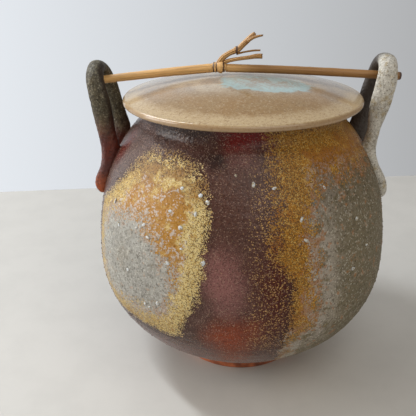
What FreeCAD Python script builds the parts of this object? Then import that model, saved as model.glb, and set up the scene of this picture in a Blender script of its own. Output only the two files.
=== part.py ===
"""Lidded stoneware bean pot with two strap lugs, locked by a bamboo twig.

Three loose pieces: the pot (body, foot and lugs), the lid (disc and locating
flange) and the twig (two culms, their node and three branch stubs).
Frame: +Z up, origin under the centre of the foot, +X through the right lug.
"""
import FreeCAD
import Part
import Sketcher
import math
import os

DOCUMENT_NAME = "bean_pot"
PARTS_FOLDER = "parts"

# Driving dimensions in millimetres: alias, value, what it is.
SIZES = [
    ("belly_radius", 95.2, "widest radius of the thrown body"),
    ("belly_height", 76.0, "height of the widest ring"),
    ("lower_curve", 63.0, "profile radius below the belly"),
    ("cone_drop", 48.0, "drop from the widest ring to where the wall turns into a straight cone"),
    ("flank_curve", 190.0, "profile radius just above the belly"),
    ("shoulder_height", 113.0, "where the flank turns into the shoulder"),
    ("shoulder_curve", 100.0, "profile radius of the shoulder"),
    ("collar_radius", 63.2, "outer radius of the short neck"),
    ("neck_rise", 9.1, "height of the short neck above the shoulder"),
    ("wall", 6.0, "thickness of the thrown wall"),
    ("collar_wall", 5.4, "thickness of the neck"),
    ("floor_thickness", 8.0, "thickness of the floor"),
    ("foot_height", 6.0, "height of the trimmed foot"),
    ("foot_inset", 1.3, "how far the top of the foot stands inside the body's base"),
    ("foot_flare", 1.2, "how much wider the foot is at its top"),
    ("foot_width", 8.5, "width of the foot's standing ring"),
    ("foot_round", 1.2, "rounding of the foot's outer edge"),
    ("seat_gap", 0.3, "clearance between the neck and the lid"),
    ("lid_overhang", 10.7, "how far the lid reaches beyond the neck"),
    ("lid_rim", 3.8, "thickness of the lid's rounded rim"),
    ("lid_rise", 11.4, "rise of the dome above the rim"),
    ("lid_thickness", 5.0, "thickness of the lid at its crown"),
    ("hollow_margin", 2.6, "flat ring between the flange and the hollow under the lid"),
    ("flange_depth", 9.0, "how far the locating flange reaches into the neck"),
    ("flange_wall", 4.0, "thickness of the locating flange"),
    ("flange_clearance", 1.2, "radial clearance of the flange in the neck"),
    ("strap_width", 12.2, "width of a lug's strap, outwards from the pot"),
    ("strap_thickness", 7.0, "thickness of a lug's strap"),
    ("waist_thickness", 5.8, "thickness of each leg at its waist"),
    ("crown_thickness", 8.0, "thickness of the strap over the top of the loop"),
    ("crown_width", 10.4, "width of the strap over the top of the loop"),
    ("leg_spacing", 27.5, "distance between the two legs of a lug"),
    ("pad_start", 3.0, "rise from the shoulder's turn to the lower end of each leg"),
    ("pad_rise", 14.0, "rise from there to the thick part of each pad"),
    ("heel_rise", 11.0, "rise from there to where each leg leaves the shoulder"),
    ("waist_rise", 11.0, "rise from there to the narrow part of each leg"),
    ("left_headroom", 2.0, "clearance between the twig and the left loop above it"),
    ("left_waist_out", 9.85, "how far outside the shoulder the left strap is centred at its waist"),
    ("left_waist_width", 12.0, "width of the left front leg at its waist"),
    ("left_arch_out", 13.3, "how far outside the lid's edge it is centred where the loop begins"),
    ("left_crown_out", 16.3, "the same at the top of the left loop"),
    ("left_heel_proud", 8.0, "how far the left legs stand out where they leave the shoulder"),
    ("left_pad_proud", 6.4, "how far the left pads stand out of the shoulder"),
    ("right_headroom", 3.2, "clearance between the twig and the right loop above it"),
    ("right_waist_out", 5.4, "how far outside the shoulder the right strap is centred at its waist"),
    ("right_waist_width", 8.2, "width of the right front leg at its waist"),
    ("right_arch_out", 9.7, "how far outside the lid's edge it is centred where the loop begins"),
    ("right_crown_out", 12.0, "the same at the top of the right loop"),
    ("right_heel_proud", 3.8, "how far the right legs stand out where they leave the shoulder"),
    ("right_pad_proud", 4.0, "how far the right pads stand out of the shoulder"),
    ("back_leg_inset", 2.6, "how much nearer the pot the back legs stand"),
    ("twig_gap", 0.55, "clearance between the node and the lid's crown"),
    ("node_place", 14.2, "how far left of the pot's axis the node lies"),
    ("node_length", 8.0, "length of the node with its sheath"),
    ("node_radius", 3.9, "largest radius of the node"),
    ("node_swell", 0.6, "how much higher than the culms the node is centred"),
    ("left_tip_out", 2.3, "how far the twig's left end lies beyond the middle of the left strap"),
    ("left_drop", 8.0, "fall of the left culm from the node to its end"),
    ("left_end_radius", 2.35, "radius of the twig's left end"),
    ("left_culm_radius", 2.75, "radius of the left culm at the node"),
    ("right_tip_out", 9.7, "how far the twig's right end lies beyond the middle of the right strap"),
    ("right_drop", 4.6, "fall of the right culm from the node to its end"),
    ("right_culm_radius", 2.45, "radius of the right culm"),
    ("upper_radius", 1.6, "radius of the upper branch stub"),
    ("upper_rise", 20.4, "rise of the upper stub's tip above the node's centre"),
    ("upper_reach", 23.0, "reach of the upper stub's tip to the right of the node"),
    ("lower_radius", 1.15, "radius of the lower branch stub"),
    ("lower_rise", 6.9, "rise of the lower stub's tip above the node's centre"),
    ("lower_reach", 27.5, "reach of the lower stub's tip to the right of the node"),
    ("thin_radius", 0.5, "radius of the thin twiglet"),
    ("thin_reach", 17.0, "length of the thin twiglet"),
    ("thin_rise", 1.5, "rise of the thin twiglet's tip above its root"),
]


class Size:
    """A number together with the spreadsheet expression that gives it."""

    def __init__(self, value, text):
        self.value = float(value)
        self.text = text

    def __add__(self, other):
        other = as_size(other)
        return Size(self.value + other.value, f"({self.text} + {other.text})")

    def __sub__(self, other):
        other = as_size(other)
        return Size(self.value - other.value, f"({self.text} - {other.text})")

    def __mul__(self, other):
        other = as_size(other)
        return Size(self.value * other.value, f"({self.text} * {other.text})")

    def __truediv__(self, other):
        other = as_size(other)
        return Size(self.value / other.value, f"({self.text} / {other.text})")

    def __neg__(self):
        return Size(-self.value, f"(-1 * {self.text})")


def as_size(value):
    """Any number as a Size."""
    if isinstance(value, Size):
        return value
    return Size(value, f"({float(value)})")


def root(size):
    """Square root of a Size."""
    return Size(math.sqrt(size.value), f"sqrt({size.text})")


def arc_tangent(rise, run):
    """Angle of a slope, in degrees."""
    angle = math.degrees(math.atan2(rise.value, run.value))
    return Size(angle, f"(atan({rise.text} / {run.text}) / 1deg)")


def between(first, last, share):
    """A size that lies the given share of the way from first to last."""
    return as_size(first) + (as_size(last) - first) * share


def leg_of_triangle(longest, other):
    """The third side of a right-angled triangle."""
    return root(longest * longest - other * other)


def arc_radius(half_width, rise):
    """Radius of an arc with this half width and rise."""
    return (half_width * half_width + rise * rise) / (rise * 2)


# ---------------------------------------------------------------- document
doc = FreeCAD.newDocument(DOCUMENT_NAME)
sheet = doc.addObject("Spreadsheet::Sheet", "Sizes")
size = {}
for row, (alias, value, meaning) in enumerate(SIZES, start=1):
    sheet.set(f"A{row}", alias)
    sheet.set(f"B{row}", str(value))
    sheet.set(f"C{row}", meaning)
    sheet.setAlias(f"B{row}", alias)
    size[alias] = Size(value, f"Sizes.{alias}")
doc.recompute()

subparts = []


def vector(point):
    """A sketch point, given as two Sizes, as a FreeCAD vector."""
    return FreeCAD.Vector(as_size(point[0]).value, as_size(point[1]).value, 0)


def near_end(sketch, geometry, point):
    """Which end of a sketch edge lies at the point: 1 is its start, 2 its end."""
    start = sketch.getPoint(geometry, 1)
    end = sketch.getPoint(geometry, 2)
    return 1 if (start - point).Length < (end - point).Length else 2


def pin_point(sketch, geometry, point):
    """Tie the end of an edge that lies at the point to the sheet."""
    end = near_end(sketch, geometry, vector(point))
    for direction, place in zip(("DistanceX", "DistanceY"), point):
        place = as_size(place)
        if place.value == 0:
            axis = -2 if direction == "DistanceX" else -1
            sketch.addConstraint(Sketcher.Constraint("PointOnObject", geometry, end, axis))
            continue
        constraint = Sketcher.Constraint(direction, -1, 1, geometry, end, place.value)
        number = sketch.addConstraint(constraint)
        sketch.setExpression(f"Constraints[{number}]", place.text)


def arc_middle(start, end, radius, bulge):
    """A point halfway along the arc; bulge is +1 where it bows to the left."""
    chord = end - start
    half = chord.Length / 2
    left = FreeCAD.Vector(-chord.y, chord.x, 0).normalize()
    rise = radius - math.sqrt(radius * radius - half * half)
    return (start + end) * 0.5 + left * (bulge * rise)


def outline_sketch(body, name, points, curves):
    """Closed sketch on the XZ plane; curves maps a run's number to (radius, bulge)."""
    sketch = body.newObject("Sketcher::SketchObject", name)
    plane = [f for f in body.Origin.OriginFeatures if f.Role == "XZ_Plane"][0]
    sketch.AttachmentSupport = [(plane, "")]
    sketch.MapMode = "FlatFace"
    count = len(points)
    for number in range(count):
        start = vector(points[number])
        end = vector(points[(number + 1) % count])
        if number in curves:
            radius, bulge = curves[number]
            middle = arc_middle(start, end, radius.value, bulge)
            sketch.addGeometry(Part.Arc(start, middle, end))
        else:
            sketch.addGeometry(Part.LineSegment(start, end))
    for number in range(count):
        following = (number + 1) % count
        corner = vector(points[following])
        first_end = near_end(sketch, number, corner)
        second_end = near_end(sketch, following, corner)
        joint = Sketcher.Constraint("Coincident", number, first_end, following, second_end)
        sketch.addConstraint(joint)
        pin_point(sketch, number, points[following])
        if number in curves:
            radius = curves[number][0]
            bow = Sketcher.Constraint("Radius", number, radius.value)
            index = sketch.addConstraint(bow)
            sketch.setExpression(f"Constraints[{index}]", radius.text)
    return sketch


def turned_body(name, points, curves=None):
    """PartDesign body turned about the pot's axis from one closed outline."""
    body = doc.addObject("PartDesign::Body", name)
    sketch = outline_sketch(body, f"{name}_outline", points, curves or {})
    turn = body.newObject("PartDesign::Revolution", f"{name}_turn")
    turn.Profile = sketch
    turn.ReferenceAxis = (sketch, ["V_Axis"])
    turn.Angle = 360
    body.Tip = turn
    return body


def ring(name, centre, major, minor, axis, angle):
    """Elliptical ring: its centre, half axes and tilt are tied to the sheet."""
    section = doc.addObject("Part::Ellipse", name)
    major = as_size(major)
    minor = as_size(minor)
    angle = as_size(angle)
    section.MajorRadius = major.value
    section.MinorRadius = minor.value
    section.setExpression("MajorRadius", major.text)
    section.setExpression("MinorRadius", minor.text)
    places = [as_size(place) for place in centre]
    base = FreeCAD.Vector(*[place.value for place in places])
    section.Placement = FreeCAD.Placement(base, FreeCAD.Rotation(axis, angle.value))
    for letter, place in zip("xyz", places):
        section.setExpression(f"Placement.Base.{letter}", place.text)
    section.setExpression("Placement.Rotation.Angle", angle.text)
    return section


def loft(name, rings, straight):
    """Solid through the rings, straight from ring to ring or as one smooth skin."""
    solid = doc.addObject("Part::Loft", name)
    solid.Sections = rings
    solid.Solid = True
    solid.Ruled = straight
    return solid


def cut(name, base, tool):
    """Base without the tool's space; the tool itself stays as it is."""
    result = doc.addObject("Part::Cut", name)
    result.Base = base
    result.Tool = tool
    return result


def subpart(solid, node):
    """Name a finished solid as a sub-part of the pot."""
    solid.Label = node
    subparts.append(solid)


# ---------------------------------------------------------------- pot body
base_height = size["foot_height"]
floor_height = base_height + size["floor_thickness"]
lower_centre = size["belly_radius"] - size["lower_curve"]
flank_centre = size["belly_radius"] - size["flank_curve"]
cone_height = size["belly_height"] - size["cone_drop"]
cone_run = leg_of_triangle(size["lower_curve"], size["cone_drop"])
cone_slope = size["cone_drop"] / cone_run
cone_radius = lower_centre + cone_run
base_radius = cone_radius - (cone_height - base_height) * cone_slope

flank_rise = size["shoulder_height"] - size["belly_height"]
flank_run = leg_of_triangle(size["flank_curve"], flank_rise)
flank_radius = flank_centre + flank_run
turn_share = size["shoulder_curve"] / size["flank_curve"]
shoulder_centre_radius = flank_radius - flank_run * turn_share
shoulder_centre_height = size["shoulder_height"] - flank_rise * turn_share
mouth_radius = size["collar_radius"] - size["collar_wall"]


def shoulder_top(curve, radius):
    """Height at which a shoulder curve comes in to the given radius."""
    return shoulder_centre_height + leg_of_triangle(curve, radius - shoulder_centre_radius)


def shoulder_radius(height):
    """Outer radius of the shoulder at the given height."""
    run = leg_of_triangle(size["shoulder_curve"], height - shoulder_centre_height)
    return shoulder_centre_radius + run


crease_height = shoulder_top(size["shoulder_curve"], size["collar_radius"])
rim_height = crease_height + size["neck_rise"]
pot_form = turned_body(
    "pot_form",
    [
        (0, base_height),
        (base_radius, base_height),
        (cone_radius, cone_height),
        (size["belly_radius"], size["belly_height"]),
        (flank_radius, size["shoulder_height"]),
        (size["collar_radius"], crease_height),
        (size["collar_radius"], rim_height),
        (0, rim_height),
    ],
    {2: (size["lower_curve"], -1), 3: (size["flank_curve"], -1), 4: (size["shoulder_curve"], -1)},
)

inner_lower = size["lower_curve"] - size["wall"]
inner_flank = size["flank_curve"] - size["wall"]
inner_shoulder = size["shoulder_curve"] - size["wall"]
inner_share = inner_lower / size["lower_curve"]
inner_cone_radius = lower_centre + cone_run * inner_share
inner_cone_height = size["belly_height"] - size["cone_drop"] * inner_share
floor_radius = inner_cone_radius - (inner_cone_height - floor_height) * cone_slope
flank_share = inner_flank / size["flank_curve"]
cutter_top = rim_height + size["wall"]
pot_hollow = turned_body(
    "pot_hollow",
    [
        (0, floor_height),
        (floor_radius, floor_height),
        (inner_cone_radius, inner_cone_height),
        (size["belly_radius"] - size["wall"], size["belly_height"]),
        (flank_centre + flank_run * flank_share, size["belly_height"] + flank_rise * flank_share),
        (mouth_radius, shoulder_top(inner_shoulder, mouth_radius)),
        (mouth_radius, cutter_top),
        (0, cutter_top),
    ],
    {2: (inner_lower, -1), 3: (inner_flank, -1), 4: (inner_shoulder, -1)},
)
subpart(cut("pot_shell", pot_form, pot_hollow), "pot_body")

# ---------------------------------------------------------------- foot
foot_top = base_radius - size["foot_inset"]
foot_radius = foot_top - size["foot_flare"]
foot_inner = foot_radius - size["foot_width"]
foot = turned_body(
    "foot",
    [
        (foot_inner, 0),
        (foot_radius - size["foot_round"], 0),
        (foot_radius, size["foot_round"]),
        (foot_top, base_height),
        (foot_inner, base_height),
    ],
    {1: (size["foot_round"], -1)},
)
subpart(foot, "foot_ring")

# ---------------------------------------------------------------- lid
lid_underside = rim_height + size["seat_gap"]
lid_radius = size["collar_radius"] + size["lid_overhang"]
half_rim = size["lid_rim"] / 2
lid_edge = lid_radius - half_rim
rim_top = lid_underside + size["lid_rim"]
crown_height = rim_top + size["lid_rise"]
hollow_top = crown_height - size["lid_thickness"]
flange_radius = mouth_radius - size["flange_clearance"]
flange_inner = flange_radius - size["flange_wall"]
hollow_radius = flange_inner - size["hollow_margin"]
lid = turned_body(
    "lid",
    [
        (0, hollow_top),
        (hollow_radius, lid_underside),
        (lid_edge, lid_underside),
        (lid_radius, lid_underside + half_rim),
        (lid_edge, rim_top),
        (0, crown_height),
    ],
    {
        0: (arc_radius(hollow_radius, hollow_top - lid_underside), 1),
        2: (half_rim, -1),
        3: (half_rim, -1),
        4: (arc_radius(lid_edge, size["lid_rise"]), -1),
    },
)
subpart(lid, "lid_disc")

flange_bottom = lid_underside - size["flange_depth"]
flange = turned_body(
    "flange",
    [
        (flange_inner, flange_bottom),
        (flange_radius, flange_bottom),
        (flange_radius, lid_underside),
        (flange_inner, lid_underside),
    ],
)
subpart(flange, "lid_flange")

# ---------------------------------------------------------------- heights and reaches
node_height = crown_height + size["twig_gap"] + size["node_radius"]
culm_height = node_height - size["node_swell"]
left_tip_height = culm_height - size["left_drop"]
right_tip_height = culm_height - size["right_drop"]
pad_low = size["shoulder_height"] + size["pad_start"]
pad_middle = pad_low + size["pad_rise"]
pad_high = pad_middle + size["heel_rise"]
waist_height = pad_high + size["waist_rise"]
lug_top = {
    "left": left_tip_height + size["left_end_radius"] + size["left_headroom"] + size["crown_thickness"],
    "right": right_tip_height + size["right_culm_radius"] + size["right_headroom"] + size["crown_thickness"],
}


def strap_reach(name, level):
    """Distance from the pot's axis to the middle of a strap, beside or above the lid."""
    return lid_radius + size[f"{name}_{level}_out"]


# ---------------------------------------------------------------- lugs
ACROSS = FreeCAD.Vector(1, 0, 0)
ARCH_STEPS = (0, 45, 90, 135, 180)
# Each pad is thicker than its strap and narrows towards its smeared end.
PAD_SPREAD = 1.05
PAD_WIDTH = 0.9
PAD_END_WIDTH = 0.75
PAD_END_PROUD = 0.14
half_spacing = size["leg_spacing"] / 2


def shoulder_reach(height):
    """Distance from the pot's axis to the shoulder behind a lug's leg."""
    return leg_of_triangle(shoulder_radius(height), half_spacing)


def strap_ring(side, name, reach, across, height, width, thickness, tilt):
    """One cross-section of a strap; side is -1 for the left lug, +1 for the right."""
    centre = (as_size(reach) * side, across, height)
    return ring(name, centre, width / 2, thickness / 2, ACROSS, tilt)


def leg_rings(side, name, leg, waist_reach, waist_width, arch_height):
    """Sections of one leg from its smeared end up to the arch; leg is -1 in front."""
    across = half_spacing * leg
    place, tilt = ("front", 0) if leg < 0 else ("back", -180)
    label = f"{name}_{place}"
    pad_thickness = size["strap_thickness"] * PAD_SPREAD
    pads = (
        ("low", pad_low, PAD_END_WIDTH, size[f"{name}_pad_proud"] * PAD_END_PROUD),
        ("middle", pad_middle, PAD_WIDTH, size[f"{name}_pad_proud"]),
        ("high", pad_high, PAD_WIDTH, size[f"{name}_heel_proud"]),
    )
    rings = []
    for level, height, width_share, proud in pads:
        width = size["strap_width"] * width_share
        reach = shoulder_reach(height) + proud - width / 2
        rings.append(strap_ring(side, f"{label}_{level}", reach, across, height, width, pad_thickness, tilt))
    for level, share in (("waist", 0), ("shin", 0.5)):
        height = between(waist_height, arch_height, share)
        reach = between(waist_reach, strap_reach(name, "arch"), share)
        width = between(waist_width, size["strap_width"], share)
        thickness = between(size["waist_thickness"], size["strap_thickness"], share)
        rings.append(strap_ring(side, f"{label}_{level}", reach, across, height, width, thickness, tilt))
    return rings


def lug(side, name):
    """A pulled strap bent into a loop and pressed on to the shoulder."""
    front_reach = shoulder_reach(waist_height) + size[f"{name}_waist_out"]
    back_reach = front_reach - size["back_leg_inset"]
    arch_height = lug_top[name] - size["crown_thickness"] / 2 - half_spacing
    front = leg_rings(side, name, -1, front_reach, size[f"{name}_waist_width"], arch_height)
    back = leg_rings(side, name, 1, back_reach, size["strap_width"], arch_height)
    arch = []
    for step in ARCH_STEPS:
        turn = math.radians(step)
        crown_share = math.sin(turn)
        reach = between(strap_reach(name, "arch"), strap_reach(name, "crown"), crown_share)
        across = half_spacing * -math.cos(turn)
        height = arch_height + half_spacing * crown_share
        width = between(size["strap_width"], size["crown_width"], crown_share)
        thickness = between(size["strap_thickness"], size["crown_thickness"], crown_share)
        arch.append(strap_ring(side, f"{name}_arch_{step}", reach, across, height, width, thickness, -step))
    strap = loft(f"{name}_strap", front + arch + back[::-1], False)
    return cut(f"{name}_lug", strap, pot_form)


subpart(lug(-1, "left"), "lug_left")
subpart(lug(1, "right"), "lug_right")

# ---------------------------------------------------------------- twig
UPRIGHT = FreeCAD.Vector(0, 1, 0)
# The node's thickest stretch, as shares of its half length either side of its middle.
SWELL_START = 0.7
SWELL_END = 0.3
# Bends of each branch stub: shares of its reach, of its rise and of its radius.
UPPER_BENDS = ((0.28, 0.40, 0.95), (0.59, 0.56, 0.85), (1, 1, 0.6))
LOWER_BENDS = ((0.23, 0.60, 1.0), (0.56, 0.84, 1.0), (1, 1, 0.8))
THIN_BENDS = ((1, 1, 0.7),)
# Where each stub springs from: shares of the node, or of the upper stub for the twiglet.
STUB_ROOT = 0.4
THIN_ROOT_REACH = 0.33
THIN_ROOT_RISE = 0.39

left_tip_x = -(strap_reach("left", "crown") + size["left_tip_out"])
right_tip_x = strap_reach("right", "crown") + size["right_tip_out"]
half_node = size["node_length"] / 2
node_x = -size["node_place"]
left_node_end = node_x - half_node
right_node_end = node_x + half_node
left_slope = arc_tangent(size["left_drop"], left_node_end - left_tip_x)
right_slope = arc_tangent(size["right_drop"], right_tip_x - right_node_end)


def twig_ring(name, x, height, radius, slope):
    """Round section of the twig, square to its run; slope is positive where it falls to +X."""
    return ring(name, (x, 0, height), radius, radius, UPRIGHT, slope + 90)


left_tip = twig_ring("left_tip", left_tip_x, left_tip_height, size["left_end_radius"], -left_slope)
left_root = twig_ring("left_root", left_node_end, culm_height, size["left_culm_radius"], -left_slope)
swell_left = twig_ring(
    "swell_left", node_x - half_node * SWELL_START, node_height, size["node_radius"], -left_slope
)
swell_right = twig_ring("swell_right", node_x + half_node * SWELL_END, node_height, size["node_radius"], 0)
right_root = twig_ring("right_root", right_node_end, culm_height, size["right_culm_radius"], right_slope)
right_tip = twig_ring("right_tip", right_tip_x, right_tip_height, size["right_culm_radius"], right_slope)

culm_left = loft("culm_left", [left_tip, left_root], True)
culm_right = loft("culm_right", [right_root, right_tip], True)
node = loft("node", [left_root, swell_left, swell_right, right_root], True)
subpart(culm_left, "twig_left")
subpart(culm_right, "twig_right")
subpart(node, "twig_node")


def stub(name, root_place, reach, rise, radius, bends):
    """Branch stub from root_place, measured from the node's centre, through its bends."""
    stations = [(as_size(root_place[0]), as_size(root_place[1]), radius)]
    for reach_share, rise_share, radius_share in bends:
        stations.append((reach * reach_share, rise * rise_share, radius * radius_share))
    rings = []
    for number, (out, up, thickness) in enumerate(stations):
        following = stations[min(number + 1, len(stations) - 1)]
        previous = stations[max(number - 1, 0)]
        slope = -arc_tangent(following[1] - previous[1], following[0] - previous[0])
        rings.append(twig_ring(f"{name}_{number}", node_x + out, node_height + up, thickness, slope))
    return loft(f"{name}_stub", rings, True)


root_rise = size["node_radius"] * STUB_ROOT
upper = stub(
    "upper", (0, root_rise), size["upper_reach"], size["upper_rise"], size["upper_radius"], UPPER_BENDS
)
lower_root = (half_node * STUB_ROOT, root_rise)
lower = stub(
    "lower", lower_root, size["lower_reach"], size["lower_rise"], size["lower_radius"], LOWER_BENDS
)
thin_root = (size["upper_reach"] * THIN_ROOT_REACH, size["upper_rise"] * THIN_ROOT_RISE)
thin = stub(
    "thin",
    thin_root,
    thin_root[0] + size["thin_reach"],
    thin_root[1] + size["thin_rise"],
    size["thin_radius"],
    THIN_BENDS,
)
subpart(cut("upper_branch", upper, node), "branch_upper")
lower_off_culm = cut("lower_off_culm", cut("lower_off_node", lower, node), culm_right)
subpart(cut("lower_branch", lower_off_culm, upper), "branch_lower")
subpart(cut("thin_branch", thin, upper), "branch_thin")

# ---------------------------------------------------------------- checks and files
doc.recompute()
for item in doc.Objects:
    if "Invalid" in item.State or "Error" in item.State:
        raise RuntimeError(f"{item.Label} did not rebuild: {item.State}")
for solid in subparts:
    if solid.Shape.isNull() or not solid.Shape.isValid():
        raise RuntimeError(f"{solid.Label} has no valid shape")

os.makedirs(PARTS_FOLDER, exist_ok=True)
for solid in subparts:
    solid.Shape.exportStep(os.path.join(PARTS_FOLDER, f"{solid.Label}.step"))
    box = solid.Shape.BoundBox
    corners = [box.XMin, box.XMax, box.YMin, box.YMax, box.ZMin, box.ZMax]
    print(solid.Label, len(solid.Shape.Solids), round(solid.Shape.Volume, 1), [round(c, 2) for c in corners])
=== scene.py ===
"""Wood-fired stoneware bean pot with a loose lid, two strap lugs and a bamboo twig.

Each operator in the Bean Pot panel makes one piece, or one group of like pieces,
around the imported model. Lengths are in metres; heights and azimuths that place a
finish on the pot are in millimetres and degrees, with azimuth 0 at the front and
positive towards the right lug.
"""
import math
import random
from types import SimpleNamespace

import bpy
import numpy as np
from bpy.props import FloatProperty, FloatVectorProperty, IntProperty, PointerProperty
from bpy.types import NodeSocket, Operator, Panel, PropertyGroup
from mathutils import Matrix, Vector, noise
from mathutils.bvhtree import BVHTree


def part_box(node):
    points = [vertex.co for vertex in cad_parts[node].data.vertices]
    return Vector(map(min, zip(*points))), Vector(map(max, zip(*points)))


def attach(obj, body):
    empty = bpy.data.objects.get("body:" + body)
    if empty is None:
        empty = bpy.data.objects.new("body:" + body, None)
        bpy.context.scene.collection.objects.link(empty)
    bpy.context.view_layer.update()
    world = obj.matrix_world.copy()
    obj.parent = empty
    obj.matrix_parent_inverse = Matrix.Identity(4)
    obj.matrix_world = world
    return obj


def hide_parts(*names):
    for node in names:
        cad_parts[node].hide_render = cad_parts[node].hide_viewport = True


bl_info = {
    "name": "Bean Pot",
    "version": (1, 0, 0),
    "blender": (4, 5, 0),
    "location": "View3D > Sidebar > Bean Pot",
    "description": "Dresses the packed bean pot in wood-fired stoneware and bamboo",
    "category": "Object",
}

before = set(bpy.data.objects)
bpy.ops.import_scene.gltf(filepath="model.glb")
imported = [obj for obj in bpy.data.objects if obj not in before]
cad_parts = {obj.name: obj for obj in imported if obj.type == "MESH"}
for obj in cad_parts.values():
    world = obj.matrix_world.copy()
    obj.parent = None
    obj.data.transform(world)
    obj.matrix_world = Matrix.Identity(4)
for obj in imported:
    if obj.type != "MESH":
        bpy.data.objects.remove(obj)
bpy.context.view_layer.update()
MM = 0.001

# Colours of the finishes besides those in the settings, as six hex digits.
TINTS = {
    # clay of the wall
    "umber": "4a2f28", "char": "1d0f0b", "sand": "a98f7c", "soot": "2f1b15",
    # melted ash on the wall
    "straw": "d8c792", "bronze": "86602e", "brass": "c9ac62", "rust": "96580c", "olive_gold": "6e4f18",
    "stray_left": "cdaa76", "stray_right": "c0985a", "burnt_gold": "4d3014",
    # thick ash on the wall, with a dark olive-brown for painted shade on its upper right
    "grey_lilac": "a1978e", "khaki": "847860", "rim_left": "a5a39b", "rim_right": "a8a094", "upper_right_shade": "574a33",
    "bark": "4b3d2c", "chalk": "c9c4b6", "pepper": "33261a", "salt": "d6d2c6",
    # flakes and foot
    "milk": "ccd0d3", "bone": "9a8c6c", "burnt_clay": "6d3a26", "sand_grain": "c99a6c",
    # lid, with a darker taupe for painted shade at the back and a brown for painted shade on the rim's side
    "warm_taupe": "b3a48f", "amber": "8c6836", "back_shade_taupe": "6f6456", "cream": "d8cdb8",
    "pale_speck": "dccfb4", "rim_side_shade": "97795a", "ice": "9fbfc3",
    # left strap
    "lichen": "645c46", "dry_moss": "75664a", "dark_pit": "1d1910", "grey_salt": "aba68f", "bog": "2b251a",
    "grey_chalk": "aaa188", "lid_shadow": "231509", "brick": "6a2a18", "orange_clay": "a8501f",
    "black_clay": "1b0b08",
    # right strap
    "dull_ash": "9d978a", "ochre_fleck": "98814a", "brown_pit": "443a2c", "white_salt": "eae7df",
    "brown_grain": "4c4030", "white_grain": "e0dcd2",
    # bamboo
    "pale_fibre": "cfa468", "old_fibre": "6e431a", "brown_side": "693d04",
}


# --- settings
def tint(code):
    """A colour written as six hex digits, as the linear values Blender works in."""
    shares = [int(code[i : i + 2], 16) / 255 for i in (0, 2, 4)]
    return tuple(s / 12.92 if s <= 0.04045 else ((s + 0.055) / 1.055) ** 2.4 for s in shares)


def paint(name, description, code):
    """A colour setting; its default is six hex digits."""
    return FloatVectorProperty(
        name=name, description=description, default=tint(code), size=3, subtype="COLOR", min=0, max=1
    )


def number_property(name, description, default, **options):
    return FloatProperty(name=name, description=description, default=default, **options)


def length(name, description, millimetres):
    """A length setting; its default is in millimetres."""
    return number_property(name, description, millimetres * MM, unit="LENGTH", subtype="DISTANCE")


def angle_property(name, description, degrees):
    return number_property(name, description, math.radians(degrees), subtype="ANGLE")


def count_property(name, description, default):
    return IntProperty(name=name, description=description, default=default, min=0)


class PotSettings(PropertyGroup):
    """Surface and colours of the thrown body and its foot."""

    skin: length("Skin", "How far the wall stays inside the packed solid", 0.28)
    wobble: length("Wobble", "How far the wall strays from a true circle", 0.2)
    throwing_depth: length("Throwing rings", "Depth of the rings left by the fingers", 0.08)
    throwing_pitch: length("Ring pitch", "Height between two throwing rings", 5.2)
    rim_round: length("Rim rounding", "Rounding of the mouth's edges", 1.4)
    grit_size: length("Grit", "Largest radius of a grain that breaks the surface", 0.55)
    grit_count: count_property("Grit count", "Grains over the wall", 2600)
    chip_size: length("Ash chips", "Largest radius of a flake of ash", 2.2)
    chip_count: count_property("Chip count", "Flakes strewn besides the placed ones", 7)
    clay: paint("Flashed clay", "Purple-brown clay where little ash landed", "583c34")
    gold_left: paint("Pale gold", "Thin melted ash on the left", "b3924a")
    gold_right: paint("Deep gold", "Thin melted ash on the right", "a4701a")
    ochre: paint("Ochre", "Runs of iron in the gold", "a06c12")
    ash_left: paint("Grey ash", "Thick ash on the left", "94928a")
    ash_right: paint("Olive ash", "Thick ash on the right", "6f6650")
    lilac: paint("Lilac mottle", "Milky spots where the ash pooled", "c6c5c4")
    bare_clay: paint("Bare clay", "Unglazed clay of the foot", "cc7449")


class LidSettings(PropertyGroup):
    """Surface and colours of the lid."""

    rim_round: length("Rim rounding", "Rounding of the rim's upper edge", 2.1)
    taupe: paint("Taupe glaze", "Glaze over the crown and the back", "998e82")
    honey: paint("Honey glaze", "Glaze towards the front", "8f754e")
    straw: paint("Straw glaze", "Thin glaze along the rim", "bba47e")
    fleck: paint("Iron fleck", "Brown specks in the glaze", "75532f")
    pool: paint("Ice pool", "Crystalline blue pool near the crown", "a3bcbc")


class LugSettings(PropertyGroup):
    """Surface and colours of the pulled strap lugs."""

    voxel: length("Voxel", "Mesh size of the straps", 0.62)
    knead: length("Kneading", "Depth of the hand-made unevenness", 0.45)
    grain: length("Grain", "Depth of the rough ash skin", 0.16)
    moss: paint("Mossy ash", "Grey-green ash on the left loop", "463f2e")
    oxblood: paint("Oxblood", "Glossy red-brown on the left legs", "50231c")
    pale_ash: paint("Pale ash", "Pale pitted ash on the right lug", "b9b5aa")
    # Painted shade for the back of the right lug, below its top.
    shade: paint("Painted shade brown", "Dark clay on the legs' inner sides", "2b1e16")


class TwigSettings(PropertyGroup):
    """Sizes and colours of the bamboo twig."""

    end_radius: length("Left end radius", "Radius of the twig's left end", 2.35)
    left_radius: length("Left radius", "Radius of the left culm at the node", 2.75)
    right_radius: length("Right radius", "Radius of the right culm", 2.45)
    sag: length("Bow", "How far each culm bows", 0.5)
    bamboo: paint("Bamboo", "Dried culm", "d5a768")
    bamboo_dark: paint("Weathered bamboo", "Dark fibres and the underside", "7d5226")
    node_dark: paint("Node scar", "Dark ring at the node", "3d2420")


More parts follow.
